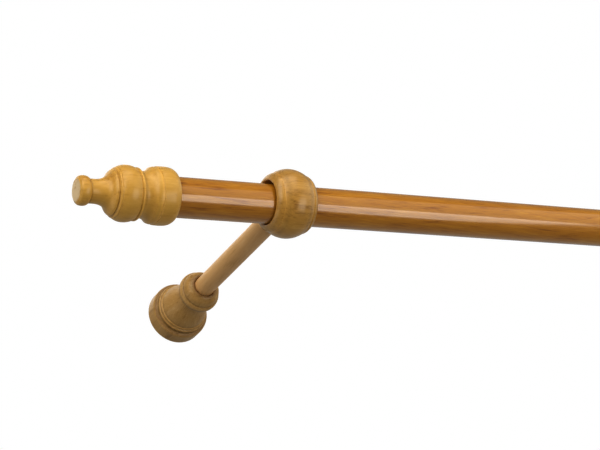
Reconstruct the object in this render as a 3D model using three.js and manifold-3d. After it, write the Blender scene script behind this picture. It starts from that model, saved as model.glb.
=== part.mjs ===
// A turned wooden curtain rod set: a round pole, a push-on finial at each end, and two
// wall brackets. Each bracket is a turned ring, a dowel arm and a bell-shaped rosette,
// screwed together, with a keyhole hanger plate let into the rosette's back.
//
// Millimetres, +Z up. X runs along the pole with 0 at its middle. The wall is the plane
// Y = 0 and the room is on its -Y side. Z = 0 is the height of the bracket arms.

import * as THREE from 'three';
import { mergeVertices } from 'three/addons/utils/BufferGeometryUtils.js';
import Module from 'manifold-3d';

const wasm = await Module();
wasm.setup();

// ---- Driving dimensions -------------------------------------------------------------

const POLE_DIAMETER = 28;
const POLE_LENGTH = 1200;
const POLE_CHAMFER = 1;

const FINIAL_LENGTH = 69.3;
const FINIAL_SOCKET_DEPTH = 24;
const POLE_IN_FINIAL = 23;        // length of pole inside each finial
const MOUTH_TO_RING = 87.5;       // finial's open end to the middle of the bracket's ring

const RING_WIDTH = 32.2;
const RING_BORE = 30.8;
const RING_CROWN_DIAMETER = 48.8;
const RING_SHOULDER = 11.2;       // where the crown meets the shoulder, from the middle

const PROJECTION = 200;           // wall to the ring's axis
const ARM_DIAMETER = 15.3;
const ARM_SEAT_IN_RING = 4.8;     // depth of the arm's seat below the ring's crown
const ARM_IN_ROSETTE = 23.7;

const ROSETTE_LENGTH = 58;
const ROSETTE_FOOT_DIAMETER = 45;
const ROSETTE_WEB = 8;            // wood between the arm's socket and the screw's head
const ROSETTE_SOCKET_GAP = 0.8;   // round the arm, where the socket shows as a dark line

const HANGER_PLATE = { length: 34, width: 16, thickness: 1.5, inset: 0.2 };
const HANGER_SCREW_AT = 13;       // above and below the plate's middle
const KEYHOLE = { entryRadius: 4.7, entryZ: -4, slotRadius: 2.4, slotTopZ: 5.5 };
const HEAD_POCKET = { radius: 5.4, depth: 8 };   // room for the head of the wall's screw

const RING_SCREW = { headRadius: 3.6, headDepth: 2.3, shankRadius: 1.75, length: 24 };
const ROSETTE_SCREW = { headRadius: 4, headDepth: 2.4, shankRadius: 2.05, length: 32 };
const HANGER_SCREW = { headRadius: 2.7, headDepth: 1.5, shankRadius: 1.4, length: 11.5 };
const SINK_DEPTH = 3.4;           // cones for the heads of the arm's screws
const RING_PILOT_DEPTH = 21;      // blind holes in the arm's ends
const ROSETTE_PILOT_DEPTH = 26;
const HANGER_PILOT_DEPTH = 13;
const HEAD_SUNK = 0.4;            // heads of the arm's screws below the wood
const HANGER_HEAD_SUNK = 0.15;    // heads of the plate's screws below the plate

const FIT_GAP = 0.3;              // between pieces that touch
const PILOT_GAP = 0.4;            // between a screw's shank and its hole
const ARM_EDGE = 0.5;             // chamfer on the arm's ends
const TURNED_SIDES = 28;
const ARM_SIDES = 24;
const SCREW_SIDES = 16;

// ---- Helpers ------------------------------------------------------------------------

// Each profile is a path of (distance along the axis, radius). It is turned about +Y and
// then stood up, so that every turned piece is made along +Z.
function lathe(path, sides = TURNED_SIDES, divisions = 3) {
  const points = path.getPoints(divisions).map((p) => new THREE.Vector2(Math.max(p.y, 0), p.x));
  return new THREE.LatheGeometry(points, sides).rotateX(Math.PI / 2);
}

function weld(geometry) {
  geometry.deleteAttribute('normal');
  geometry.deleteAttribute('uv');
  return mergeVertices(geometry, 1e-4);
}

function toSolid(geometry) {
  const merged = weld(geometry.clone());
  return new wasm.Manifold(new wasm.Mesh({
    numProp: 3,
    vertProperties: new Float32Array(merged.attributes.position.array),
    triVerts: new Uint32Array(merged.index.array),
  }));
}

function toGeometry(solid) {
  const mesh = solid.getMesh();
  const geometry = new THREE.BufferGeometry();
  geometry.setAttribute('position', new THREE.BufferAttribute(mesh.vertProperties, 3));
  geometry.setIndex(new THREE.BufferAttribute(mesh.triVerts, 1));
  geometry.computeVertexNormals();
  return geometry;
}

function cut(geometry, cutters) {
  let solid = toSolid(geometry);
  for (const cutter of cutters) {
    solid = solid.subtract(toSolid(cutter));
  }
  return toGeometry(solid);
}

// A round bar, or a cone, along +Z from z0 to z1.
function bar(radius0, radius1, z0, z1, sides = SCREW_SIDES) {
  const path = new THREE.Path();
  path.moveTo(z0, 0);
  path.lineTo(z0, radius0);
  path.lineTo(z1, radius1);
  path.lineTo(z1, 0);
  return lathe(path, sides);
}

// A bar with round ends: two half circles of different radii on the Y axis.
function slotShape(target, lowY, lowRadius, highY, highRadius) {
  target.moveTo(highRadius, highY);
  target.absarc(0, highY, highRadius, 0, Math.PI, false);
  const meet = Math.acos(highRadius / lowRadius);
  target.absarc(0, lowY, lowRadius, Math.PI - meet, 2 * Math.PI + meet, false);
  target.closePath();
  return target;
}

function slab(shape, z0, z1) {
  const options = { depth: z1 - z0, bevelEnabled: false, curveSegments: 8 };
  return new THREE.ExtrudeGeometry(shape, options).translate(0, 0, z0);
}

function material(color, roughness, metalness = 0) {
  return new THREE.MeshStandardMaterial({ color, roughness, metalness });
}

const woods = {
  pole: () => material(0xa9682c, 0.28),
  finial: () => material(0xc0913f, 0.42),
  ring: () => material(0xa98a45, 0.45),
  arm: () => material(0xb98a4e, 0.45),
  rosette: () => material(0x94703f, 0.48),
};
const steel = () => material(0xb9b7b0, 0.35, 1);

function named(name, geometry, surface) {
  const mesh = new THREE.Mesh(geometry, surface);
  mesh.name = name;
  return mesh;
}

// ---- Pole ---------------------------------------------------------------------------

// A plain round bar along +Z from 0 to its length, its ends chamfered.
function poleGeometry() {
  const radius = POLE_DIAMETER / 2;
  const path = new THREE.Path();
  path.moveTo(0, 0);
  path.lineTo(0, radius - POLE_CHAMFER);
  path.lineTo(POLE_CHAMFER, radius);
  path.lineTo(POLE_LENGTH - POLE_CHAMFER, radius);
  path.lineTo(POLE_LENGTH, radius - POLE_CHAMFER);
  path.lineTo(POLE_LENGTH, 0);
  return lathe(path);
}

// ---- Finial -------------------------------------------------------------------------

// Open end at 0, tip at FINIAL_LENGTH: socket band, cove, bulb, ogee neck and button.
function finialGeometry() {
  const socketRadius = POLE_DIAMETER / 2 + FIT_GAP;
  const path = new THREE.Path();
  path.moveTo(FINIAL_SOCKET_DEPTH, 0);
  path.lineTo(FINIAL_SOCKET_DEPTH, socketRadius);
  path.lineTo(0.8, socketRadius);
  path.lineTo(0, socketRadius + 0.8);
  path.lineTo(0, 16.4);
  path.quadraticCurveTo(0.9, 19.7, 5.2, 20);
  path.lineTo(9, 20);
  path.lineTo(15.4, 19.6);
  path.lineTo(15.8, 19.2);
  path.quadraticCurveTo(17.6, 18.9, 18.8, 17.7);
  path.quadraticCurveTo(21.4, 15.6, 24.6, 16);
  path.lineTo(27.4, 17.2);
  path.lineTo(28.2, 17.2);
  path.quadraticCurveTo(35.4, 21.4, 43, 16.9);
  path.lineTo(43.9, 16);
  path.lineTo(44.9, 15.9);
  path.quadraticCurveTo(48.2, 8.3, 57.4, 8.3);
  path.lineTo(60.9, 8.4);
  path.quadraticCurveTo(62.2, 10.1, 65.2, 10.1);
  path.quadraticCurveTo(68.6, 10, FINIAL_LENGTH, 8);
  path.lineTo(FINIAL_LENGTH, 0);
  return lathe(path);
}

// ---- Bracket: ring ------------------------------------------------------------------

// The ring's axis is Z here. It is turned onto X, and its arm leaves along +Y.
function ringGeometry() {
  const bore = RING_BORE / 2;
  const crown = RING_CROWN_DIAMETER / 2;
  const half = RING_WIDTH / 2;
  const path = new THREE.Path();
  path.moveTo(half - 1, bore);
  path.lineTo(1 - half, bore);
  path.lineTo(-half, bore + 0.9);
  path.quadraticCurveTo(0.4 - half, 19.2, -RING_SHOULDER - 0.9, 20.5);
  path.lineTo(-RING_SHOULDER, 20.7);
  path.quadraticCurveTo(-6.2, crown, 0, crown);
  path.quadraticCurveTo(6.2, crown, RING_SHOULDER, 20.7);
  path.lineTo(RING_SHOULDER + 0.9, 20.5);
  path.quadraticCurveTo(half - 0.4, 19.2, half, bore + 0.9);
  path.lineTo(half - 1, bore);
  const turned = lathe(path).rotateY(Math.PI / 2);

  const seatFloor = crown - ARM_SEAT_IN_RING;
  const seat = ARM_DIAMETER / 2 + FIT_GAP;
  const shank = RING_SCREW.shankRadius + PILOT_GAP;
  const sinkStart = bore - FIT_GAP;
  const cutters = [
    bar(seat, seat, seatFloor, crown + 1, ARM_SIDES),
    bar(shank, shank, bore - 2, seatFloor + 1),
    bar(RING_SCREW.headRadius + 1, shank, sinkStart, sinkStart + SINK_DEPTH),
  ];
  return cut(turned, cutters.map((cutter) => cutter.rotateX(-Math.PI / 2)));
}

// ---- Bracket: arm -------------------------------------------------------------------

const ARM_START = RING_CROWN_DIAMETER / 2 - ARM_SEAT_IN_RING + FIT_GAP;
const ARM_END = PROJECTION - ROSETTE_LENGTH + ARM_IN_ROSETTE;

// A dowel along +Z, from its seat in the ring to its end in the rosette, with a pilot
// hole in each end for the screw that holds it.
function armGeometry() {
  const radius = ARM_DIAMETER / 2;
  const ringPilot = RING_SCREW.shankRadius + PILOT_GAP;
  const rosettePilot = ROSETTE_SCREW.shankRadius + PILOT_GAP;
  const path = new THREE.Path();
  path.moveTo(ARM_START + RING_PILOT_DEPTH, 0);
  path.lineTo(ARM_START + RING_PILOT_DEPTH, ringPilot);
  path.lineTo(ARM_START, ringPilot);
  path.lineTo(ARM_START, radius - ARM_EDGE);
  path.lineTo(ARM_START + ARM_EDGE, radius);
  path.lineTo(ARM_END - ARM_EDGE, radius);
  path.lineTo(ARM_END, radius - ARM_EDGE);
  path.lineTo(ARM_END, rosettePilot);
  path.lineTo(ARM_END - ROSETTE_PILOT_DEPTH, rosettePilot);
  path.lineTo(ARM_END - ROSETTE_PILOT_DEPTH, 0);
  return lathe(path, ARM_SIDES);
}

// ---- Bracket: rosette ---------------------------------------------------------------

const SOCKET_FLOOR = ROSETTE_LENGTH - ARM_IN_ROSETTE - FIT_GAP;
const WEB_BACK = SOCKET_FLOOR - ROSETTE_WEB;
const PLATE_END = (HANGER_PLATE.length - HANGER_PLATE.width) / 2;   // centres of its round ends

// Distance from the wall along +Z: foot band, two beads, bell, neck, lip and dome mouth.
function rosetteGeometry() {
  const foot = ROSETTE_FOOT_DIAMETER / 2;
  const socket = ARM_DIAMETER / 2 + ROSETTE_SOCKET_GAP;
  const shank = ROSETTE_SCREW.shankRadius + PILOT_GAP;
  const head = ROSETTE_SCREW.headRadius + 0.8;
  const hangerPilot = HANGER_SCREW.shankRadius + PILOT_GAP;
  const plateFloor = HANGER_PLATE.inset + HANGER_PLATE.thickness + FIT_GAP;
  const path = new THREE.Path();
  path.moveTo(0, 0);
  path.lineTo(0, foot - 0.5);
  path.lineTo(0.5, foot);
  path.lineTo(9.6, foot);
  path.quadraticCurveTo(10.9, foot, 11.2, 21.3);
  path.lineTo(11.9, 20.8);
  path.quadraticCurveTo(13.9, 20.9, 14, 19.6);
  path.lineTo(15.5, 19.2);
  path.quadraticCurveTo(17.6, 19.4, 17.8, 18);
  path.quadraticCurveTo(28, 17.2, 37.4, 12.7);
  path.lineTo(42.5, 12.4);
  path.quadraticCurveTo(43, 15.8, 47.4, 15.8);
  path.quadraticCurveTo(50.8, 15.6, 51.2, 14.4);
  path.quadraticCurveTo(55, 13.6, ROSETTE_LENGTH, 9.6);
  path.lineTo(ROSETTE_LENGTH, 0);
  const turned = lathe(path);

  const plateSeat = slotShape(
    new THREE.Shape(),
    -PLATE_END, HANGER_PLATE.width / 2 + FIT_GAP, PLATE_END, HANGER_PLATE.width / 2 + FIT_GAP,
  );
  const pocketTop = KEYHOLE.slotTopZ - 1.5;
  const pocket = slotShape(
    new THREE.Shape(), KEYHOLE.entryZ, HEAD_POCKET.radius, pocketTop, HEAD_POCKET.radius,
  );
  const cutters = [
    bar(socket, socket, SOCKET_FLOOR, ROSETTE_LENGTH + 1, ARM_SIDES),
    bar(shank, shank, WEB_BACK - 1, SOCKET_FLOOR + 1),
    bar(head, head, 1, WEB_BACK),
    bar(head, shank, WEB_BACK - 0.01, WEB_BACK + SINK_DEPTH),
    slab(plateSeat, -1, plateFloor),
    slab(pocket, 1, HEAD_POCKET.depth),
  ];
  for (const side of [-1, 1]) {
    cutters.push(bar(hangerPilot, hangerPilot, 1, HANGER_PILOT_DEPTH, 12)
      .translate(0, side * HANGER_SCREW_AT, 0));
  }
  return cut(turned, cutters);
}

// ---- Bracket: hanger plate ----------------------------------------------------------

// The plate lies across Z, its long side on Y, with a keyhole and two sunk screw holes.
function hangerPlateGeometry() {
  const low = HANGER_PLATE.inset;
  const high = low + HANGER_PLATE.thickness;
  const outline = slotShape(
    new THREE.Shape(), -PLATE_END, HANGER_PLATE.width / 2, PLATE_END, HANGER_PLATE.width / 2,
  );
  outline.holes.push(slotShape(
    new THREE.Path(), KEYHOLE.entryZ, KEYHOLE.entryRadius, KEYHOLE.slotTopZ, KEYHOLE.slotRadius,
  ));
  const { headRadius, shankRadius } = HANGER_SCREW;
  const sinks = [-1, 1].map((side) => bar(headRadius + 0.7, shankRadius + FIT_GAP, low - 0.1, high + 0.1)
    .translate(0, side * HANGER_SCREW_AT, 0));
  return cut(slab(outline, low, high), sinks);
}

// ---- Countersunk screw --------------------------------------------------------------

// Head at 0, point at length along +Z.
function screwGeometry({ headRadius, headDepth, shankRadius, length }) {
  const point = 1.6 * shankRadius;
  const path = new THREE.Path();
  path.moveTo(0, 0);
  path.lineTo(0, headRadius);
  path.lineTo(0.3, headRadius);
  path.lineTo(headDepth, shankRadius);
  path.lineTo(length - point, shankRadius);
  path.lineTo(length, 0);
  return lathe(path, SCREW_SIDES);
}

// ---- Assembly -----------------------------------------------------------------------

const set = new THREE.Group();
const bracketX = POLE_LENGTH / 2 - POLE_IN_FINIAL - MOUTH_TO_RING;
const poleDrop = (RING_BORE - POLE_DIAMETER) / 2 - FIT_GAP;   // the pole lies low in the bore

function addPole() {
  const pole = new THREE.Group();
  pole.position.set(0, -PROJECTION, -poleDrop);
  const rod = named('curtain_pole', poleGeometry(), woods.pole());
  rod.position.x = -POLE_LENGTH / 2;
  rod.rotation.y = Math.PI / 2;
  pole.add(rod);
  for (const [side, name] of [[-1, 'left_finial'], [1, 'right_finial']]) {
    const finial = named(name, finialGeometry(), woods.finial());
    finial.position.x = side * (POLE_LENGTH / 2 - POLE_IN_FINIAL);
    finial.rotation.y = side * Math.PI / 2;
    pole.add(finial);
  }
  set.add(pole);
}

function addBracket(name, x) {
  const bracket = new THREE.Group();
  bracket.position.set(x, -PROJECTION, 0);

  // Turns a piece made along +Z onto +Y, from the ring's axis towards the wall.
  const outward = new THREE.Group();
  outward.rotation.x = -Math.PI / 2;

  // The same for pieces made from the wall out into the room.
  const inward = new THREE.Group();
  inward.position.y = PROJECTION;
  inward.rotation.x = Math.PI / 2;

  bracket.add(named(`${name}_bracket_ring`, ringGeometry(), woods.ring()));
  outward.add(named(`${name}_bracket_arm`, armGeometry(), woods.arm()));
  const ringScrew = named(`${name}_ring_screw`, screwGeometry(RING_SCREW), steel());
  ringScrew.position.z = RING_BORE / 2 + HEAD_SUNK;
  outward.add(ringScrew);

  inward.add(named(`${name}_rosette`, rosetteGeometry(), woods.rosette()));
  const rosetteScrew = named(`${name}_rosette_screw`, screwGeometry(ROSETTE_SCREW), steel());
  rosetteScrew.position.z = WEB_BACK + HEAD_SUNK;
  inward.add(rosetteScrew);
  inward.add(named(`${name}_hanger_plate`, hangerPlateGeometry(), steel()));
  for (const [side, level] of [[1, 'upper'], [-1, 'lower']]) {
    const screw = named(`${name}_hanger_screw_${level}`, screwGeometry(HANGER_SCREW), steel());
    screw.position.set(0, side * HANGER_SCREW_AT, HANGER_PLATE.inset + HANGER_HEAD_SUNK);
    inward.add(screw);
  }

  bracket.add(outward, inward);
  set.add(bracket);
}

addPole();
addBracket('left', -bracketX);
addBracket('right', bracketX);

export default set;
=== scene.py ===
import math

import bpy
from mathutils import Matrix, Vector


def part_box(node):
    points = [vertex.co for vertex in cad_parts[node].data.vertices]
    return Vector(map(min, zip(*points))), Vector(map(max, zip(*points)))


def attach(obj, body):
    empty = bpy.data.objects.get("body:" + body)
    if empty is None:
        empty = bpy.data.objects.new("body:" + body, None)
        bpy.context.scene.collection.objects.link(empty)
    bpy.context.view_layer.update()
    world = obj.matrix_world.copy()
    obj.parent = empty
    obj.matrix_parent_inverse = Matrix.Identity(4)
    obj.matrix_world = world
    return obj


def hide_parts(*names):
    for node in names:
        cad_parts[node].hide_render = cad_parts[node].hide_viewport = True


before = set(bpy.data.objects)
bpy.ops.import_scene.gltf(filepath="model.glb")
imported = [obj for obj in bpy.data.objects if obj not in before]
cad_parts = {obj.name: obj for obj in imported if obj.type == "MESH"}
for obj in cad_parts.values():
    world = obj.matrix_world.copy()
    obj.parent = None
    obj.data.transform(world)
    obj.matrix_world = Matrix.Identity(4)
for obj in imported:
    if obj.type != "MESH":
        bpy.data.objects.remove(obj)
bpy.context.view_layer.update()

# A turned wooden curtain rod set. The object's sizes are in millimetres and become metres
# through MM, and the studio's are in metres. Places come from the frame: the pole runs along
# X, and the wall is at Y = 0.

MM = 0.001
PER_METRE = 1000                 # millimetres
SIDES = 144                      # facets round a turned wooden piece
STEP = 0.35                      # spacing of points along a curved outline
ON_AXIS = 1e-6                   # a smaller radius is a single point
SAME_CORNER = 1e-3               # corners nearer to each other than this are one
CRISP = 32                       # degrees: edges sharper than this aren't shaded smooth


# ---- Frame ----------------------------------------------------------------------------

def middle(node):
    """The middle of a CAD node's box."""
    low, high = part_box(node)
    return (Vector(low) + Vector(high)) / 2


def length(node, axis):
    """A CAD node's length along X, Y or Z (0, 1 or 2), in millimetres."""
    low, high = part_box(node)
    return (high[axis] - low[axis]) / MM


POLE_AXIS = middle("curtain_pole")
POLE_RADIUS = length("curtain_pole", 2) / 2
POLE_LENGTH = length("curtain_pole", 0)
FINIAL_LENGTH = length("left_finial", 0)
RING_WIDTH = length("left_bracket_ring", 0)
RING_CROWN = length("left_bracket_ring", 2) / 2
ARM_RADIUS = length("left_bracket_arm", 0) / 2
ROSETTE_LENGTH = length("left_rosette", 1)
FOOT_RADIUS = length("left_rosette", 0) / 2

SOCKET_DEPTH = 24                # the finial's socket
SOCKET_GAP = 0.3                 # round the pole in it
RING_BORE = 15.4                 # radius, loose round the pole
SEAT_GAP = 0.15                  # round the arm in the ring's seat
ARM_GAP = 0.25                   # round the arm in the rosette's bore
END_GAP = 0.3                    # past the arm's two ends


# ---- Meshes ---------------------------------------------------------------------------

def outline(start, *steps):
    """Points (distance along the axis, radius). A step (x, r) is a straight line to that
    point, and a step (cx, cr, x, r) is a curve to (x, r) pulled towards (cx, cr)."""
    points = [start]
    for step in steps:
        if len(step) == 2:
            points.append(step)
            continue
        x0, r0 = points[-1]
        cx, cr, x1, r1 = step
        span = math.hypot(cx - x0, cr - r0) + math.hypot(x1 - cx, r1 - cr)
        count = max(3, round(span / STEP))
        for i in range(1, count + 1):
            t = i / count
            s = 1 - t
            points.append((s * s * x0 + 2 * s * t * cx + t * t * x1,
                           s * s * r0 + 2 * s * t * cr + t * t * r1))
    return points


def revolve(name, points, sides=SIDES, radius_at=None):
    """A mesh turned about Z. radius_at(x, r, angle) may shape the radius, as a thread does."""
    vertices = []
    rows = []
    for x, r in points:
        if r < ON_AXIS:
            rows.append([len(vertices)] * sides)
            vertices.append((0, 0, x * MM))
            continue
        row = []
        for j in range(sides):
            angle = 2 * math.pi * j / sides
            radius = radius_at(x, r, angle) if radius_at else r
            row.append(len(vertices))
            vertices.append((radius * MM * math.cos(angle), radius * MM * math.sin(angle), x * MM))
        rows.append(row)
    if points[0] == points[-1]:
        rows[-1] = rows[0]
        vertices = vertices[:-sides]
    faces = []
    for low, high in zip(rows, rows[1:]):
        for j in range(sides):
            k = (j + 1) % sides
            corners = [low[j], low[k], high[k], high[j]]
            faces.append(list(dict.fromkeys(corners)))
    mesh = bpy.data.meshes.new(name)
    mesh.from_pydata(vertices, [], [face for face in faces if len(face) > 2])
    mesh.validate()
    return mesh


def prism(name, corners, z0, z1):
    """A closed slab between z0 and z1 over a list of (x, y) corners, anticlockwise."""
    count = len(corners)
    vertices = [(x * MM, y * MM, z * MM) for z in (z0, z1) for x, y in corners]
    faces = [list(range(count))[::-1], list(range(count, 2 * count))]
    for i in range(count):
        k = (i + 1) % count
        faces.append([i, k, count + k, count + i])
    mesh = bpy.data.meshes.new(name)
    mesh.from_pydata(vertices, [], faces)
    return mesh


def slot_corners(low_y, low_radius, high_y, high_radius):
    """The outline of two circles on the Y axis, joined by straight sides."""
    steps = 24
    meet = math.acos(high_radius / low_radius)
    corners = []
    for i in range(steps + 1):
        angle = math.pi * i / steps
        corners.append((high_radius * math.cos(angle), high_y + high_radius * math.sin(angle)))
    for i in range(steps + 1):
        angle = math.pi - meet + (math.pi + 2 * meet) * i / steps
        point = (low_radius * math.cos(angle), low_y + low_radius * math.sin(angle))
        if min(math.dist(point, corners[-1]), math.dist(point, corners[0])) > SAME_CORNER:
            corners.append(point)
    return corners


def rod(radius0, radius1, z0, z1, sides):
    """A closed cylinder or cone along Z, for cutting."""
    return revolve("rod", [(z0, 0), (z0, radius0), (z1, radius1), (z1, 0)], sides)


def add(name, data):
    """A new object in the scene, holding a mesh, a light or a camera."""
    made = bpy.data.objects.new(name, data)
    bpy.context.scene.collection.objects.link(made)
    return made


def cut(mesh, cutters):
    """The mesh less each (mesh, matrix) cutter."""
    body = add("cut_body", mesh)
    tools = []
    for cutter, matrix in cutters:
        tool = add("cut_tool", cutter)
        tool.matrix_world = matrix
        modifier = body.modifiers.new("cut", "BOOLEAN")
        modifier.operation = "DIFFERENCE"
        modifier.solver = "EXACT"
        modifier.object = tool
        tools.append(tool)
    evaluated = body.evaluated_get(bpy.context.evaluated_depsgraph_get())
    result = bpy.data.meshes.new_from_object(evaluated)
    for helper in [body, *tools]:
        bpy.data.objects.remove(helper)
    return result


# ---- Materials ------------------------------------------------------------------------

def tint(red, green, blue):
    """A colour given as it looks on screen, 0 to 255, as the linear RGBA that shaders use."""
    def linear(value):
        value /= 255
        return value / 12.92 if value <= 0.04045 else ((value + 0.055) / 1.055) ** 2.4
    return (linear(red), linear(green), linear(blue), 1)


MIX_COLOURS = (6, 7)             # a Mix node's two colour inputs
MIX_RESULT = 2                   # and its colour output


class Nodes:
    """A small helper that adds nodes to a material and links them."""

    def __init__(self, name):
        self.material = bpy.data.materials.new(name)
        self.material.use_nodes = True
        self.tree = self.material.node_tree
        self.shader = self.tree.nodes["Principled BSDF"]

    def add(self, kind, **settings):
        """A new node of that kind, with its settings."""
        node = self.tree.nodes.new("ShaderNode" + kind)
        for key, value in settings.items():
            setattr(node, key, value)
        return node

    def put(self, socket, value):
        """Links an output to an input, or sets the input's own value."""
        if isinstance(value, bpy.types.NodeSocket):
            self.tree.links.new(value, socket)
        else:
            socket.default_value = value

    def math(self, operation, a, b=0.0, c=0.0):
        """One Math node on outputs or numbers."""
        node = self.add("Math", operation=operation)
        for socket, value in zip(node.inputs, (a, b, c)):
            self.put(socket, value)
        return node.outputs[0]

    def scaled(self, vector, scale, location=(0, 0, 0), rotation=(0, 0, 0)):
        """A vector, scaled, turned and then moved."""
        node = self.add("Mapping")
        self.put(node.inputs["Vector"], vector)
        node.inputs["Scale"].default_value = scale
        node.inputs["Location"].default_value = location
        node.inputs["Rotation"].default_value = rotation
        return node.outputs[0]

    def noise(self, vector, detail, roughness=0.55, distortion=0.0):
        """Noise about one unit wide, between 0 and 1."""
        node = self.add("TexNoise")
        self.put(node.inputs["Vector"], vector)
        node.inputs["Scale"].default_value = 1
        node.inputs["Detail"].default_value = detail
        node.inputs["Roughness"].default_value = roughness
        node.inputs["Distortion"].default_value = distortion
        return node.outputs["Fac"]

    def ramp(self, value, *stops):
        """A smooth colour ramp through (position, colour) stops."""
        node = self.add("ValToRGB")
        node.color_ramp.interpolation = "EASE"
        elements = node.color_ramp.elements
        while len(elements) < len(stops):
            elements.new(0.5)
        for element, (position, colour) in zip(elements, stops):
            element.position = position
            element.color = colour
        self.put(node.inputs["Fac"], value)
        return node.outputs["Color"]

    def mixed(self, factor, first, second):
        """The first colour where the factor is 0, and the second where it is 1."""
        node = self.add("Mix", data_type="RGBA")
        self.put(node.inputs["Factor"], factor)
        for index, colour in zip(MIX_COLOURS, (first, second)):
            self.put(node.inputs[index], colour)
        return node.outputs[MIX_RESULT]

    def times(self, colour, factor):
        """A colour made lighter or darker by a factor."""
        node = self.add("VectorMath", operation="SCALE")
        self.put(node.inputs["Vector"], colour)
        self.put(node.inputs["Scale"], factor)
        return node.outputs["Vector"]

    def mapped(self, value, low, high, to_low, to_high, smooth=False):
        """A value between low and high, mapped to between to_low and to_high, and clamped."""
        node = self.add("MapRange", clamp=True)
        if smooth:
            node.interpolation_type = "SMOOTHSTEP"
        for name, number in (("Value", value), ("From Min", low), ("From Max", high),
                             ("To Min", to_low), ("To Max", to_high)):
            self.put(node.inputs[name], number)
        return node.outputs["Result"]

    def bumped(self, height, depth, strength):
        """Roughens the surface by a height, which is 0 to 1 over a depth in millimetres."""
        bump = self.add("Bump")
        bump.inputs["Distance"].default_value = depth * MM
        bump.inputs["Strength"].default_value = strength
        self.put(bump.inputs["Height"], height)
        self.put(self.shader.inputs["Normal"], bump.outputs["Normal"])


# How fine each mark in the wood is, per millimetre: across the grain twice, then along it.
WAVERS = (0.03, 0.03, 0.006)
FIBRES = (1.1, 1.1, 0.07)
STREAKS = (0.3, 0.3, 0.026)
BLOTCHES = (0.06, 0.06, 0.02)
PORES = (2.6, 2.6, 0.16)
TOOL_MARKS = (0, 0, 1400)        # per metre, along the axis of a turned piece
RING_LEVEL = 0.32                # where a growth ring leaves the tone as it is


def wood(name, pale, middle_tone, deep, seed, rings, fibres, streaks, blotches, pores, roughness,
         coat, coat_roughness, coat_ior=1.5, ring_gap=3.2, pith=(38, 22), end_grain=None,
         turning=0.0, painted_shading=()):
    """Solid wood with its grain along the piece's own Z axis, under a clear lacquer. Each
    band (place, half_width, strength) in the last argument darkens a ring round the piece at
    that distance along its axis, as painted shade in a groove, cove or under a lip, and a
    negative strength lightens it instead, as a painted highlight on an edge that catches the
    light. Each seed is another place in the plank, with the pith elsewhere."""
    n = Nodes(name)
    place = n.add("TexCoord").outputs["Object"]
    grain = n.scaled(place, (PER_METRE, PER_METRE, PER_METRE), (seed * 37, seed * 23, seed * 411),
                     (math.radians(1.3), math.radians(-0.9), 0))
    split = n.add("SeparateXYZ")
    n.put(split.inputs[0], place)

    # Growth rings: distance from the pith, wavering slowly along the trunk. Each one darkens
    # outwards and then ends.
    waver = n.noise(n.scaled(grain, WAVERS), detail=2, roughness=0.5)
    across = n.math("ADD", n.math("MULTIPLY", split.outputs["X"], PER_METRE), pith[0] + seed * 3.1)
    upward = n.math("ADD", n.math("MULTIPLY", split.outputs["Y"], PER_METRE), pith[1] - seed * 1.7)
    from_pith = n.math("SQRT", n.math("ADD", n.math("MULTIPLY", across, across),
                                      n.math("MULTIPLY", upward, upward)))
    wavered = n.math("MULTIPLY_ADD", waver, ring_gap * 9, from_pith)
    phase = n.math("FRACT", n.math("DIVIDE", wavered, ring_gap))
    ring = n.math("MULTIPLY", n.math("POWER", phase, 2.2), n.mapped(phase, 0.8, 1, 1, 0))

    # Fibres, longer streaks, broad blotches and short dark pores, drawn out along the grain.
    fibre = n.noise(n.scaled(grain, FIBRES), detail=4, roughness=0.6)
    streak = n.noise(n.scaled(grain, STREAKS), detail=3, distortion=0.4)
    blotch = n.noise(n.scaled(grain, BLOTCHES), detail=2)
    pore = n.mapped(n.noise(n.scaled(grain, PORES), detail=2), 0.6, 0.72, 0, 1)

    tone = 0.5
    for noise, amount in ((fibre, fibres), (streak, streaks), (blotch, blotches)):
        tone = n.math("MULTIPLY_ADD", n.math("SUBTRACT", noise, 0.5), 2 * amount, tone)
    tone = n.math("MULTIPLY_ADD", n.math("SUBTRACT", RING_LEVEL, ring), rings, tone)
    tone = n.math("MULTIPLY_ADD", pore, -pores, tone)
    colour = n.ramp(tone, (0.1, deep), (0.5, middle_tone), (0.9, pale))
    if end_grain:
        facing = n.add("SeparateXYZ")
        n.put(facing.inputs[0], n.add("TexCoord").outputs["Normal"])
        sawn = n.mapped(n.math("ABSOLUTE", facing.outputs["Z"]), 0.9, 0.99, 0, 1)
        colour = n.mixed(sawn, colour, n.ramp(tone, (0.2, deep), (0.5, end_grain)))
    # Painted shade and painted highlights: each band along the axis is darkened where a groove, cove or
    # underside lies in shade, or lightened where an edge catches the light.
    if painted_shading:
        along = n.math("MULTIPLY", split.outputs["Z"], PER_METRE)
        light = 1.0
        for at, half_width, strength in painted_shading:
            away = n.math("ABSOLUTE", n.math("SUBTRACT", along, at))
            band = n.mapped(away, 0, half_width, 1, 0, smooth=True)
            light = n.math("MULTIPLY_ADD", band, -strength, light)
        colour = n.times(colour, light)
    n.put(n.shader.inputs["Base Color"], colour)

    n.put(n.shader.inputs["Roughness"], n.mapped(tone, 0, 1, roughness + 0.05, roughness - 0.05))
    n.shader.inputs["Specular IOR Level"].default_value = 0.2
    n.shader.inputs["Coat Weight"].default_value = coat
    n.shader.inputs["Coat Roughness"].default_value = coat_roughness
    n.shader.inputs["Coat IOR"].default_value = coat_ior

    # Raised grain with sunken pores, and on turned pieces the faint rings that the tool leaves.
    height = n.math("MULTIPLY_ADD", pore, -0.6, fibre)
    if turning:
        tool_marks = n.noise(n.scaled(place, TOOL_MARKS), detail=3, roughness=0.7)
        height = n.math("MULTIPLY_ADD", tool_marks, turning, height)
    n.bumped(height, depth=0.03, strength=0.5)
    return n.material


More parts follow.
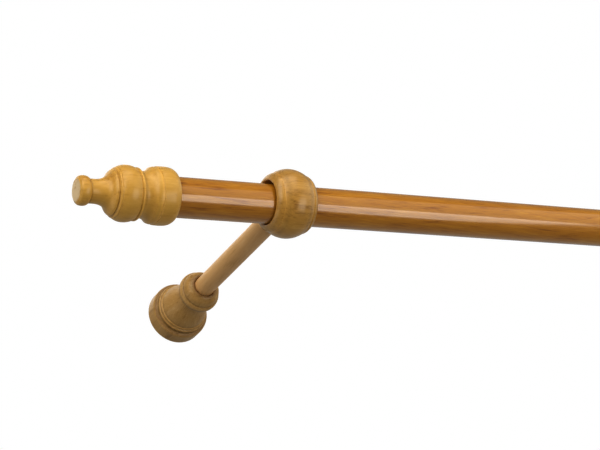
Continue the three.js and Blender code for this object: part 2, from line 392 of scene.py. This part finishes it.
def zinc(name, seed):
    """Bright zinc-plated steel, its plating slightly cloudy and yellowed."""
    n = Nodes(name)
    place = n.add("TexCoord").outputs["Object"]
    clouds = 260                 # per metre
    specks = 2500                # per metre
    cloud = n.noise(n.scaled(place, (clouds, clouds, clouds), (seed, 0, 0)), detail=5, roughness=0.65)
    colour = n.ramp(cloud, (0.3, tint(196, 190, 172)), (0.7, tint(222, 222, 218)))
    n.put(n.shader.inputs["Base Color"], colour)
    n.shader.inputs["Metallic"].default_value = 1
    n.put(n.shader.inputs["Roughness"], n.mapped(cloud, 0.3, 0.7, 0.42, 0.28))
    fine = n.noise(n.scaled(place, (specks, specks, specks)), detail=2)
    n.bumped(fine, depth=0.01, strength=0.3)
    return n.material


def pole_wood():
    return wood("pole_wood", tint(199, 145, 45), tint(185, 129, 35), tint(152, 97, 20), seed=1,
                end_grain=tint(177, 137, 58), ring_gap=6, rings=0.25, fibres=0.55, streaks=0.36,
                blotches=0.32, pores=0.08, roughness=0.36, coat=1, coat_roughness=0.11,
                coat_ior=1.7, pith=(30, -10))


# Painted shade and painted highlights (place, half_width, strength) along each turned piece, on the marks
# of its outline:
# a positive strength darkens a groove, cove or underside where shade falls, and a negative one lightens an
# edge that catches the light.

FINIAL_PAINTED_SHADING = (
    (14.6, 1.6, -0.12),                                                         # socket band's edge
    (25, 1.5, 0.12), (27.2, 1.1, -0.14),                                        # cove and ridge
    (42.9, 0.9, -0.12), (44.3, 0.8, 0.1),                                       # lip and crease
    (60.6, 1, 0.1))                                                             # behind the button
RING_PAINTED_SHADING = ((8.4, 2.4, 0.1), (11.6, 1.2, -0.15), (14.6, 2.4, 0.1))           # round each groove
ROSETTE_PAINTED_SHADING = (
    (12.9, 1.7, 0.38),                                                          # cove
    (15.4, 0.8, -0.18), (16.5, 0.6, 0.25),                                      # first bead
    (17.5, 0.7, -0.15), (19.2, 1.2, 0.1),                                       # second bead
    (44.8, 1.7, 0.32), (48.2, 1.3, -0.15), (50.2, 0.9, 0.28),                   # lip
    (58.5, 3, 0.3))                                                             # mouth


def finial_wood(seed):
    return wood("finial_wood_%d" % seed, tint(220, 180, 98), tint(208, 165, 82),
                tint(180, 132, 52), seed=seed, end_grain=tint(212, 186, 139), rings=0.06,
                fibres=0.3, streaks=0.3, blotches=0.3, pores=0.06, roughness=0.42, coat=0.6,
                coat_roughness=0.25, turning=0.5, painted_shading=FINIAL_PAINTED_SHADING)


def ring_wood(seed):
    mirrored = tuple((-at, half_width, strength) for at, half_width, strength in RING_PAINTED_SHADING[::-1])
    return wood("ring_wood_%d" % seed, tint(204, 164, 88), tint(190, 147, 71),
                tint(154, 112, 45), seed=seed, rings=0.08, fibres=0.4, streaks=0.4, blotches=0.3,
                pores=0.12, roughness=0.42, coat=0.95, coat_roughness=0.27, turning=0.4,
                painted_shading=mirrored + RING_PAINTED_SHADING)


def arm_wood(seed):
    return wood("arm_wood_%d" % seed, tint(221, 184, 132), tint(217, 176, 120),
                tint(193, 152, 93), seed=seed, end_grain=tint(186, 152, 108), rings=0.06,
                fibres=0.36, streaks=0.3, blotches=0.4, pores=0.12, roughness=0.5, coat=0.3,
                coat_roughness=0.3)


def rosette_wood(seed):
    return wood("rosette_wood_%d" % seed, tint(194, 161, 106), tint(182, 146, 89),
                tint(152, 116, 63), seed=seed, end_grain=tint(172, 138, 92), rings=0.08,
                fibres=0.42, streaks=0.42, blotches=0.4, pores=0.18, roughness=0.46, coat=0.35,
                coat_roughness=0.25, turning=0.5, painted_shading=ROSETTE_PAINTED_SHADING)


# ---- Pieces ---------------------------------------------------------------------------

def piece(name, mesh, matrix, material, body, node):
    """Puts a fine mesh in place of its CAD node."""
    mesh.shade_smooth()
    mesh.set_sharp_from_angle(angle=math.radians(CRISP))
    mesh.materials.clear()
    mesh.materials.append(material)
    made = add(name, mesh)
    made.matrix_world = matrix
    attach(made, body)
    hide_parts(node)


ALONG_X = Matrix.Rotation(math.radians(90), 4, "Y")
ALONG_MINUS_X = Matrix.Rotation(math.radians(-90), 4, "Y")
TO_WALL = Matrix.Rotation(math.radians(-90), 4, "X")
FROM_WALL = Matrix.Rotation(math.radians(90), 4, "X")


def make_pole():
    half = POLE_LENGTH / 2
    chamfer = 1
    stretches = 60
    points = outline((-half, 0), (-half, 6), (-half, POLE_RADIUS - chamfer),
                     (-half + 0.1, POLE_RADIUS - 0.1, -half + chamfer, POLE_RADIUS))
    for i in range(1, stretches):
        points.append((-half + chamfer + (POLE_LENGTH - 2 * chamfer) * i / stretches, POLE_RADIUS))
    points += outline((half - chamfer, POLE_RADIUS),
                      (half - 0.1, POLE_RADIUS - 0.1, half, POLE_RADIUS - chamfer),
                      (half, 6), (half, 0))
    piece("pole", revolve("pole", points), Matrix.Translation(POLE_AXIS) @ ALONG_X,
          pole_wood(), "pole", "curtain_pole")


def finial_outline():
    """From the socket's floor, out of its mouth at 0, and on to the tip."""
    socket = POLE_RADIUS + SOCKET_GAP
    end = FINIAL_LENGTH
    return outline(
        (SOCKET_DEPTH, 0), (SOCKET_DEPTH, socket), (0.8, socket),
        (0.1, socket, 0, socket + 0.8), (0, 15.8),
        (0.1, 17.4, 1.8, 18.4), (3.4, 19.7, 6.6, 19.95), (9.5, 20.2, 13.4, 19.9),  # socket band
        (13.7, 19.5), (15.6, 19.7, 17.3, 19.1),
        (18.3, 18.1), (20.8, 15.9, 23.8, 16),                                       # cove
        (25.2, 16.2, 26.3, 16.7), (26.5, 17.6), (27.2, 18.5, 28.2, 18),             # ridge
        (28.5, 17.55), (31.4, 19.3, 35.6, 19.35), (39.4, 19.3, 42, 17.35),          # bulb
        (42.2, 17.05), (42.9, 17.4, 43.5, 16.5), (43.8, 15.6),                      # lip
        (44.1, 15.3), (44.4, 15.6, 44.9, 15.6),                                     # crease
        (46.2, 14.9, 47.2, 12.9), (49.6, 8.5, 56.6, 8.3),                           # neck
        (60.4, 8.3), (60.7, 8.1), (61, 8.3),
        (61.9, 10.2, 65, 10.2), (68, 10.2, end - 0.7, 8.6),                         # button
        (end, 8, end, 7.3), (end, 4), (end, 0))


def make_finial(side, seed):
    low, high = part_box(side + "_finial")
    mouth = high[0] if side == "left" else low[0]
    turn = ALONG_MINUS_X if side == "left" else ALONG_X
    matrix = Matrix.Translation((mouth, POLE_AXIS.y, POLE_AXIS.z)) @ turn
    piece(side + "_finial_turned", revolve("finial", finial_outline()), matrix,
          finial_wood(seed), side + "_finial", side + "_finial")


def ring_outline():
    """The right half from the middle of the crown to the bore, and the left half mirrored."""
    half = RING_WIDTH / 2
    right = outline(
        (0, RING_CROWN), (5.6, RING_CROWN, 10.7, 21.2),                             # crown
        (11.3, 20.75), (11.6, 20.6), (12, 20.75),                                   # groove
        (13.8, 20.2, 15, 18.6), (16, 17.2, half, RING_BORE + 1),                    # shoulder
        (half - 0.1, RING_BORE + 0.1, half - 1, RING_BORE))
    left = [(-x, r) for x, r in right[::-1]]
    return left + right[1:] + [left[0]]


def make_ring(side, centre, seed):
    """The ring, with a seat for the arm's end and a countersunk hole from its bore into it."""
    seat = ARM_RADIUS + SEAT_GAP
    seat_floor = (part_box(side + "_bracket_arm")[0][1] - centre.y) / MM - END_GAP
    hole = 2.1
    sink = 4.6
    tools = [rod(seat, seat, seat_floor, RING_CROWN + 4, 96),
             rod(hole, hole, RING_BORE - 2, seat_floor + 1, 32),
             rod(sink, hole, RING_BORE - 0.3, RING_BORE + 3.1, 48)]
    to_local = ALONG_X.inverted() @ TO_WALL
    mesh = cut(revolve("ring", ring_outline()), [(tool, to_local) for tool in tools])
    piece(side + "_ring_turned", mesh, Matrix.Translation(centre) @ ALONG_X,
          ring_wood(seed), "brackets", side + "_bracket_ring")


def make_arm(side, centre, seed):
    """The dowel, with a screw's hole into each end."""
    low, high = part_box(side + "_bracket_arm")
    start = (low[1] - centre.y) / MM
    end = (high[1] - centre.y) / MM
    edge = 0.5
    front_hole = 2.2
    front_floor = start + 21
    back_hole = 2.4
    back_floor = end - 26
    stretches = 24
    points = outline((front_floor, 0), (front_floor, front_hole), (start, front_hole),
                     (start, ARM_RADIUS - edge), (start, ARM_RADIUS, start + edge, ARM_RADIUS))
    for i in range(1, stretches):
        points.append((start + edge + (end - start - 2 * edge) * i / stretches, ARM_RADIUS))
    points += outline((end - edge, ARM_RADIUS), (end, ARM_RADIUS, end, ARM_RADIUS - edge),
                      (end, back_hole), (back_floor, back_hole), (back_floor, 0))
    piece(side + "_arm_dowel", revolve("arm", points, 96), Matrix.Translation(centre) @ TO_WALL,
          arm_wood(seed), "brackets", side + "_bracket_arm")


def rosette_outline():
    """Distance from the wall: foot band, two beads, bell, neck, lip and domed mouth."""
    foot = FOOT_RADIUS
    mouth = ROSETTE_LENGTH
    bore = ARM_RADIUS + ARM_GAP
    return outline(
        (0, 0), (0, 12), (0, foot - 0.8), (0, foot, 0.9, foot),
        (9, foot), (11.2, foot, 11.8, 21.9),                                        # foot band
        (12, 20.8), (12.2, 19.6, 13.6, 19.5),                                       # cove
        (14.7, 19.6, 15.2, 20), (16, 20, 16.3, 19.2),                               # first bead
        (16.6, 18.7), (17.2, 18.9, 17.7, 18.4), (18, 18),                           # second bead
        (24, 17, 30, 14.6), (35, 12.6, 39.6, 12.2), (41.6, 12.1, 42.4, 12.9),       # bell
        (42.8, 15.7, 46.2, 15.85), (48.8, 15.9, 49.6, 15.1),                        # lip
        (49.9, 14.4), (50.3, 14.1), (51, 14.3),
        (54.8, 13.7, 56.8, 11.4), (58, 10.1, mouth, bore + 1),                      # domed mouth
        (mouth, bore + 0.2, mouth - 0.9, bore), (mouth - 1.5, bore), (mouth - 1.5, 0))


PLATE_HALF_WIDTH = 8
PLATE_ENDS = 9                   # centres of the plate's round ends, above and below
PLATE_THICKNESS = 1.5
PLATE_INSET = 0.2
SCREW_AT = 13                    # the plate's screws, above and below its middle
ENTRY_RADIUS = 4.7               # the keyhole's round entry
ENTRY_Z = -4
SLOT_RADIUS = 2.4                # and its slot above
SLOT_TOP = 5.5
POCKET_RADIUS = 5.4              # room for the wall screw's head behind the plate
POCKET_DEPTH = 8


def make_rosette(side, centre, seed):
    """The rosette, with the arm's socket, the long screw's countersunk hole through the web
    behind it, and the hanger plate's seat, pocket and screw holes in the back."""
    arm_end = -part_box(side + "_bracket_arm")[1][1] / MM
    socket_floor = arm_end - END_GAP
    web = 8
    web_back = socket_floor - web
    gap = 0.2
    bore = ARM_RADIUS + ARM_GAP
    hole = 2.4
    sink = 4.8
    pilot = 1.8
    pilot_floor = 13
    flat = Matrix.Identity(4)
    seat = slot_corners(-PLATE_ENDS, PLATE_HALF_WIDTH + gap, PLATE_ENDS, PLATE_HALF_WIDTH + gap)
    pocket = slot_corners(ENTRY_Z, POCKET_RADIUS, SLOT_TOP - 1.5, POCKET_RADIUS)
    tools = [(rod(bore, bore, socket_floor, ROSETTE_LENGTH, 96), flat),
             (rod(hole, hole, web_back - 1, socket_floor + 1, 32), flat),
             (rod(sink, sink, 1, web_back, 48), flat),
             (rod(sink, hole, web_back - 0.01, web_back + 3.4, 48), flat),
             (prism("seat", seat, -1, PLATE_INSET + PLATE_THICKNESS + gap), flat),
             (prism("pocket", pocket, 1, POCKET_DEPTH), flat)]
    for level in (-SCREW_AT, SCREW_AT):
        tools.append((rod(pilot, pilot, 1, pilot_floor, 32),
                      Matrix.Translation((0, level * MM, 0))))
    mesh = cut(revolve("rosette", rosette_outline()), tools)
    piece(side + "_rosette_turned", mesh, Matrix.Translation(centre) @ FROM_WALL,
          rosette_wood(seed), "brackets", side + "_rosette")


def make_plate(side, centre):
    """The hanger plate, with its keyhole and two countersunk holes."""
    plate = slot_corners(-PLATE_ENDS, PLATE_HALF_WIDTH, PLATE_ENDS, PLATE_HALF_WIDTH)
    keyhole = slot_corners(ENTRY_Z, ENTRY_RADIUS, SLOT_TOP, SLOT_RADIUS)
    low = PLATE_INSET
    high = PLATE_INSET + PLATE_THICKNESS
    hole = 1.7
    sink = 3.4
    tools = [(prism("keyhole", keyhole, -1, 4), Matrix.Identity(4))]
    for level in (-SCREW_AT, SCREW_AT):
        tools.append((rod(sink, hole, low - 0.1, high + 0.1, 48),
                      Matrix.Translation((0, level * MM, 0))))
    mesh = cut(prism("plate", plate, low, high), tools)
    piece(side + "_plate_pressed", mesh, Matrix.Translation(centre) @ FROM_WALL,
          zinc(side + "_plate_zinc", centre.x), "brackets", side + "_hanger_plate")


# Head radius, head depth, shank radius, length and pitch of each screw.
RING_SCREW = (3.6, 2.3, 1.75, 24, 1.7)
ROSETTE_SCREW = (4, 2.4, 2.05, 32, 1.9)
HANGER_SCREW = (2.7, 1.5, 1.4, 11.5, 1.2)


def screw_mesh(head_radius, head_depth, shank_radius, total, pitch):
    """A countersunk wood screw: head at 0, a helical thread, and a cross recess."""
    core = 0.72 * shank_radius
    thread_start = head_depth + 0.12 * total
    point_start = total - 2.2 * shank_radius

    def threaded(x, r, angle):
        if x < thread_start or r < 0.2:
            return r
        crest = abs(2 * ((x / pitch - angle / (2 * math.pi)) % 1) - 1) ** 2
        return r * (core + (shank_radius - core) * crest) / shank_radius

    points = [(0, 0), (0, 0.6 * head_radius), (0, head_radius - 0.1), (0.15, head_radius),
              (0.3, head_radius), (head_depth, shank_radius), (thread_start, shank_radius)]
    rows = math.ceil((total - thread_start) / (pitch / 10))
    for i in range(1, rows):
        x = thread_start + (total - thread_start) * i / rows
        taper = min(1, (total - x) / (total - point_start))
        points.append((x, shank_radius * taper))
    points.append((total, 0))
    mesh = revolve("screw", points, 32, threaded)
    arm = 0.62 * head_radius
    blade = 0.13 * head_radius
    bar_corners = [(-arm, -blade), (arm, -blade), (arm, blade), (-arm, blade)]
    crossed = [(-y, x) for x, y in bar_corners]
    depth = 0.6 * head_depth
    return cut(mesh, [(prism("recess", corners, -1, depth), Matrix.Identity(4))
                      for corners in (bar_corners, crossed)])


def make_screw(node, head, turn, sizes, seed):
    """A screw with the middle of its head's face at a point."""
    piece(node + "_threaded", screw_mesh(*sizes), Matrix.Translation(head) @ turn,
          zinc(node + "_zinc", seed), "brackets", node)


def make_bracket(side, seed):
    """One bracket. The arm's axis runs through the middles of the ring and the rosette."""
    ring = middle(side + "_rosette")
    ring.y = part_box(side + "_bracket_ring")[0][1] + RING_CROWN * MM
    foot = Vector((ring.x, 0, ring.z))
    make_ring(side, ring, seed)
    make_arm(side, ring, seed + 1)
    make_rosette(side, foot, seed + 2)
    make_plate(side, foot)

    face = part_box(side + "_ring_screw")[0][1]
    make_screw(side + "_ring_screw", (ring.x, face, ring.z), TO_WALL, RING_SCREW, 10)
    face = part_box(side + "_rosette_screw")[1][1]
    make_screw(side + "_rosette_screw", (ring.x, face, ring.z), FROM_WALL, ROSETTE_SCREW, 13)
    for level in ("upper", "lower"):
        node = "%s_hanger_screw_%s" % (side, level)
        head = middle(node)
        head.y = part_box(node)[1][1]
        make_screw(node, head, FROM_WALL, HANGER_SCREW, 18)


# ---- Studio ---------------------------------------------------------------------------

LEFT_RING = Vector((middle("left_bracket_ring").x, POLE_AXIS.y, POLE_AXIS.z))

CAMERA_PLACE = LEFT_RING + Vector((-0.5928, -1.0141, -0.5403))
CAMERA_AZIMUTH = -30.64
CAMERA_ELEVATION = -24.03        # it looks up
CAMERA_ROLL = -9.72
LENS = 111                       # millimetres, on a full 36 mm frame

FLOOR_HALF = 60                  # half its width
FLOOR_LEVEL = -5.2               # far below, so that the low softboxes stand clear of it
FLOOR_PAINT = 0.05
FLOOR_GLOW = 0.82

ROOM_SIDE = 0.25                 # strength of the surround in front of the object
WALL_SIDE = 0.5                  # and behind it
TO_WALL_SIDE = (0, 1, -0.1)      # towards the wall, and a little down
CONTRAST = 1.4                   # of the picture, as a camera's own tone curve gives


def look(azimuth, elevation, roll):
    """The rotation of a camera that looks from that azimuth and elevation."""
    return (Matrix.Rotation(math.radians(azimuth), 4, "Z")
            @ Matrix.Rotation(math.radians(90 - elevation), 4, "X")
            @ Matrix.Rotation(math.radians(roll), 4, "Z"))


def make_camera():
    """The camera, below the pole and left of it, looking up and to the right."""
    data = bpy.data.cameras.new("camera")
    data.lens = LENS
    data.sensor_width = 36
    data.clip_start = 0.05
    camera = add("camera", data)
    turn = look(CAMERA_AZIMUTH, CAMERA_ELEVATION, CAMERA_ROLL)
    camera.matrix_world = Matrix.Translation(CAMERA_PLACE) @ turn
    bpy.context.scene.camera = camera


def softbox(name, azimuth, elevation, distance, width, height, radiance):
    """A rectangular light aimed at the left ring from an azimuth and elevation in degrees,
    where 0, 0 is straight out into the room and azimuth 90 is along +X. Its power grows with
    its size, so that the radiance alone says how bright it looks."""
    data = bpy.data.lights.new(name, "AREA")
    data.shape = "RECTANGLE"
    data.size = width
    data.size_y = height
    data.energy = radiance * math.pi * width * height
    light = add(name, data)
    turn = look(azimuth, elevation, 0)
    light.matrix_world = Matrix.Translation(LEFT_RING) @ turn @ Matrix.Translation((0, 0, distance))


def make_floor():
    """A plain pale floor that glows evenly, and throws no light up onto the object."""
    half = FLOOR_HALF
    corners = [(x, y, FLOOR_LEVEL) for x, y in ((-half, -half), (half, -half), (half, half), (-half, half))]
    mesh = bpy.data.meshes.new("floor")
    mesh.from_pydata(corners, [], [(0, 1, 2, 3)])
    floor = add("floor", mesh)
    n = Nodes("floor_paint")
    n.shader.inputs["Base Color"].default_value = (FLOOR_PAINT, FLOOR_PAINT, FLOOR_PAINT, 1)
    n.shader.inputs["Roughness"].default_value = 0.9
    n.shader.inputs["Emission Color"].default_value = (1, 1, 1, 1)
    n.shader.inputs["Emission Strength"].default_value = FLOOR_GLOW
    mesh.materials.append(n.material)
    floor.visible_diffuse = False
    floor.visible_glossy = False


def make_world():
    """White behind the object for the camera, and a dim surround on it: darker on the room's
    side, where the softboxes stand, and paler on the wall's side."""
    world = bpy.data.worlds.new("studio")
    bpy.context.scene.world = world
    world.use_nodes = True
    tree = world.node_tree
    surround = tree.nodes["Background"]
    direction = tree.nodes.new("ShaderNodeVectorMath")
    direction.operation = "DOT_PRODUCT"
    direction.inputs[1].default_value = TO_WALL_SIDE
    tree.links.new(tree.nodes.new("ShaderNodeTexCoord").outputs["Generated"], direction.inputs[0])
    strength = tree.nodes.new("ShaderNodeMapRange")
    for name, number in (("From Min", 0.1), ("From Max", 0.8), ("To Min", ROOM_SIDE),
                         ("To Max", WALL_SIDE)):
        strength.inputs[name].default_value = number
    tree.links.new(direction.outputs["Value"], strength.inputs["Value"])
    tree.links.new(strength.outputs["Result"], surround.inputs["Strength"])
    surround.inputs["Color"].default_value = (1, 1, 1, 1)
    seen = tree.nodes.new("ShaderNodeBackground")
    seen.inputs["Color"].default_value = (1, 1, 1, 1)
    path = tree.nodes.new("ShaderNodeLightPath")
    mix = tree.nodes.new("ShaderNodeMixShader")
    tree.links.new(path.outputs["Is Camera Ray"], mix.inputs["Fac"])
    tree.links.new(surround.outputs[0], mix.inputs[1])
    tree.links.new(seen.outputs[0], mix.inputs[2])
    tree.links.new(mix.outputs[0], tree.nodes["World Output"].inputs["Surface"])


def make_studio():
    """Camera, floor, surround and softboxes. CONTRAST goes into the view's gamma."""
    make_camera()
    make_floor()
    make_world()
    # Azimuth, elevation, distance, width, height and radiance.
    softbox("key", -58, 21, 2.4, 1.9, 2.4, 2.85)
    softbox("front", -10, 30, 2.4, 1.9, 1.6, 1.25)
    softbox("top", -15, 62, 2.4, 2.2, 1.2, 2.0)
    softbox("fill", 60, 13, 2.4, 3.8, 2.8, 0.85)
    softbox("strip", 28, -23, 1.6, 0.9, 0.9, 3.15)
    softbox("strip_low", 28, -40, 1.6, 0.9, 0.18, 1.3)
    softbox("bounce", -105, -14, 2.4, 2.2, 1.1, 0.9)
    softbox("back", 180, 40, 3.0, 2.4, 1.6, 0.8)
    view = bpy.context.scene.view_settings
    view.view_transform = "Standard"
    view.look = "None"
    view.gamma = 1 / CONTRAST


make_studio()
make_pole()
make_finial("left", 2)
make_finial("right", 3)
make_bracket("left", 4)
make_bracket("right", 7)
